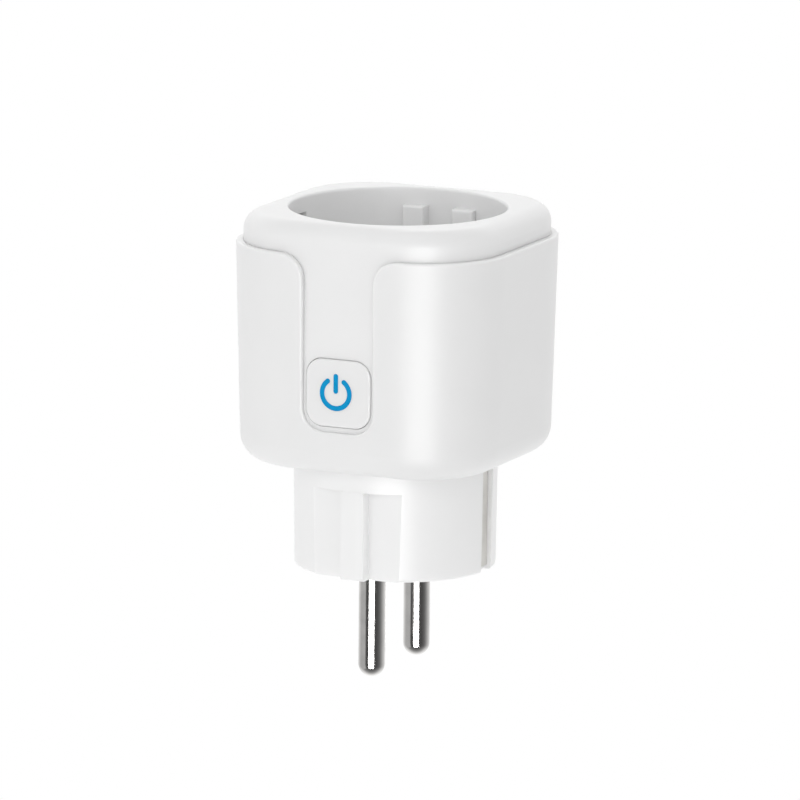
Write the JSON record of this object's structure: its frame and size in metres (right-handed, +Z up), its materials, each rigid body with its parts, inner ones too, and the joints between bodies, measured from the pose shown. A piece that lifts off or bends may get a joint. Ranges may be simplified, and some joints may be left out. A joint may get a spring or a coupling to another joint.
{
  "type": "smart plug",
  "caption": "White rounded-square plug-in smart adapter: round two-pin earthed plug below, matching recessed socket on top, push button with power symbol on the front.",
  "frame": {"origin": "centre of the plug's engagement face, between the roots of the two pins", "axes": "+Z up from the plug to the socket, -Y towards the button face; the two pins stand on the Y axis"},
  "size_m": [0.051, 0.051, 0.0836],
  "materials": {
    "sleeve_plastic": "satin moulded plastic, white",
    "housing_plastic": "satin moulded plastic, white",
    "base_plastic": "satin moulded plastic, white",
    "button_plastic": "satin moulded plastic, white",
    "symbol_blue": "translucent blue inlay",
    "clear_plastic": "clear moulded plastic",
    "pin_metal": "bright nickel plate",
    "earth_metal": "nickel-plated spring strip",
    "brass_strip": "stamped brass",
    "spring_steel": "drawn wire",
    "screw_steel": "zinc plated",
    "carrier_plastic": "thermoset, brown",
    "holder_plastic": "moulded plastic, off-white",
    "shutter_plastic": "moulded plastic, white",
    "board_green": "solder mask on glass fibre",
    "chip_black": "moulded resin",
    "lamp_white": "lamp package",
    "switch_black": "moulded plastic",
    "shield_metal": "tinned sheet",
    "copper": "copper",
    "capacitor_sleeve": "shrink sleeve",
    "ferrite": "sintered ferrite",
    "varistor_blue": "dipped epoxy",
    "resistor_green": "cement coat",
    "relay_blue": "moulded plastic",
    "relay_base": "moulded plastic",
    "relay_iron": "zinc-plated iron"
  },
  "bodies": {
    "housing": {"outer_sleeve": "sleeve_plastic", "upper_housing": "housing_plastic", "base_housing": "base_plastic", "pin_carrier": "carrier_plastic", "line_pin": "pin_metal", "neutral_pin": "pin_metal", "line_riser": "brass_strip", "neutral_riser": "brass_strip", "earth_strip_right": "earth_metal", "earth_strip_left": "earth_metal", "earth_link": "earth_metal", "contact_holder": "holder_plastic", "line_contact": "brass_strip", "neutral_contact": "brass_strip", "shutter_spring": "spring_steel", "power_board": "board_green", "control_board": "board_green", "tactile_switch": "switch_black", "status_leds": "lamp_white", "wifi_board": "board_green", "wifi_shield": "shield_metal", "wifi_antenna": "copper", "bulk_capacitor": "capacitor_sleeve", "output_capacitor": "capacitor_sleeve", "filter_inductor": "ferrite", "inductor_winding": "copper", "varistor": "varistor_blue", "fusible_resistor": "resistor_green", "bridge_rectifier": "chip_black", "converter_chip": "chip_black", "metering_chip": "chip_black", "board_headers": "chip_black", "relay_base": "relay_base", "relay_cover": "relay_blue", "relay_core": "relay_iron", "relay_coil": "copper", "relay_terminal": "brass_strip", "body_screws": "screw_steel", "holder_screws": "screw_steel", "carrier_screws": "screw_steel"},
    "button": {"button_cap": "button_plastic", "button_icon": "symbol_blue", "light_guide": "clear_plastic"},
    "switch_plunger": {"switch_plunger": "switch_black"},
    "shutter": {"shutter": "shutter_plastic"},
    "armature": {"relay_armature": "relay_iron"}
  },
  "joints": [
    {"name": "button_press", "type": "slide", "parent": "housing", "child": "button", "axis": [0, 1, 0], "range_m": [0, 0.00045], "stiffness_N_per_m": 100, "springref_m": -0.006},
    {"name": "switch_plunger_press", "type": "slide", "parent": "housing", "child": "switch_plunger", "axis": [0, 1, 0], "range_m": [0, 0.00045]},
    {"name": "shutter_slide", "type": "slide", "parent": "housing", "child": "shutter", "axis": [1, 0, 0], "range_m": [0, 0.0062], "stiffness_N_per_m": 40, "springref_m": -0.008, "deforming": ["shutter_spring"]},
    {"name": "armature_pull", "type": "hinge", "parent": "housing", "child": "armature", "pos_m": [0.012, -0.0071, 0.0359], "axis": [-1, 0, 0], "range_deg": [0, 3], "stiffness_Nm_per_rad": 0.004, "springref_deg": -28.65}
  ],
  "couplings": [
    {"joint": "switch_plunger_press", "follows": "button_press", "ratio": 1}
  ]
}
